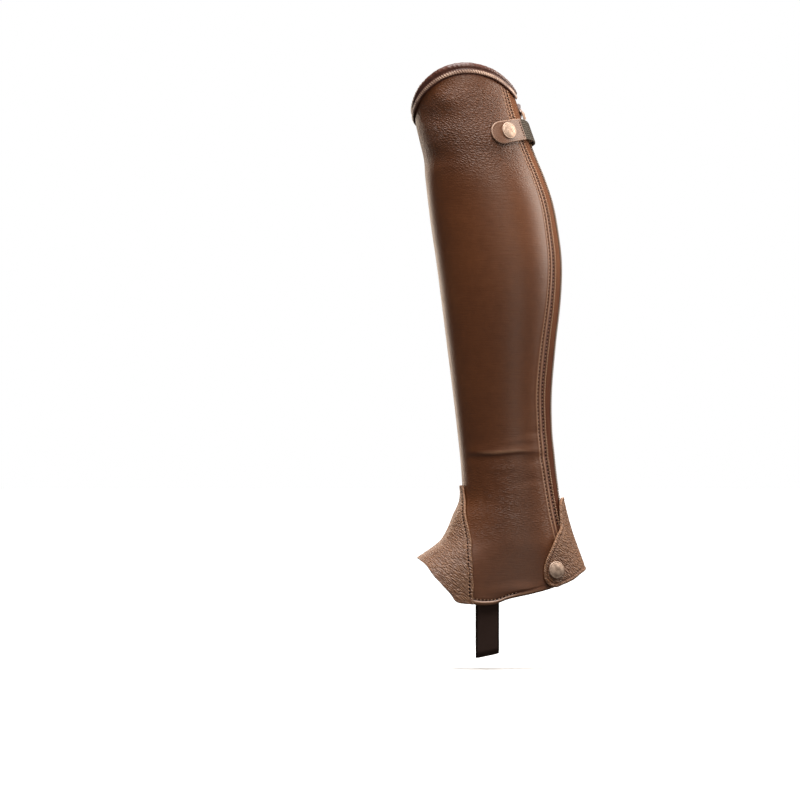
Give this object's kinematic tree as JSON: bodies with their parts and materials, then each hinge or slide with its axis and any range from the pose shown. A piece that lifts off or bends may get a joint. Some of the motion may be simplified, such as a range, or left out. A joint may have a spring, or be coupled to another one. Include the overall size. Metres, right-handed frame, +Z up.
{
  "type": "half chap",
  "caption": "Leather half chap in its worn shape, hollow, with an arched rolled top edge, a zip and stretch band at the back, an instep gusset, buttoned tabs and a stirrup strap under the foot.",
  "frame": {"origin": "middle of the leg at the fullest part of the calf, where the wearer's calf holds the half chap up", "axes": "+Z up the leg, -X towards the toe, +X towards the heel, -Y the outer side, +Y the inner side"},
  "size_m": [0.1544, 0.1063, 0.5235],
  "materials": {
    "leather": "satin full-grain leather, mid brown",
    "grained_leather": "satin pebble-grained leather, mid brown",
    "binding_leather": "satin rolled binding, dark brown",
    "stretch": "matt stretch band, rust brown",
    "zip_tape": "matt woven zip tape with coil teeth, brown",
    "elastic": "matt woven elastic, near black",
    "antique_brass": "antique brass with a copper tone, brushed"
  },
  "bodies": {
    "root": {"heel_snap_cap": "antique_brass", "heel_snap_stud": "antique_brass", "heel_tab": "grained_leather", "instep_gusset": "grained_leather", "main_panel": "leather", "stirrup_strap": "elastic", "stretch_band": "stretch", "top_binding": "binding_leather", "top_snap_cap": "antique_brass", "top_snap_stud": "antique_brass", "top_strap": "elastic", "top_tab": "leather", "zip_pull": "antique_brass", "zip_slider": "antique_brass", "zip_tape_inner": "zip_tape", "zip_tape_outer": "zip_tape"}
  },
  "joints": []
}
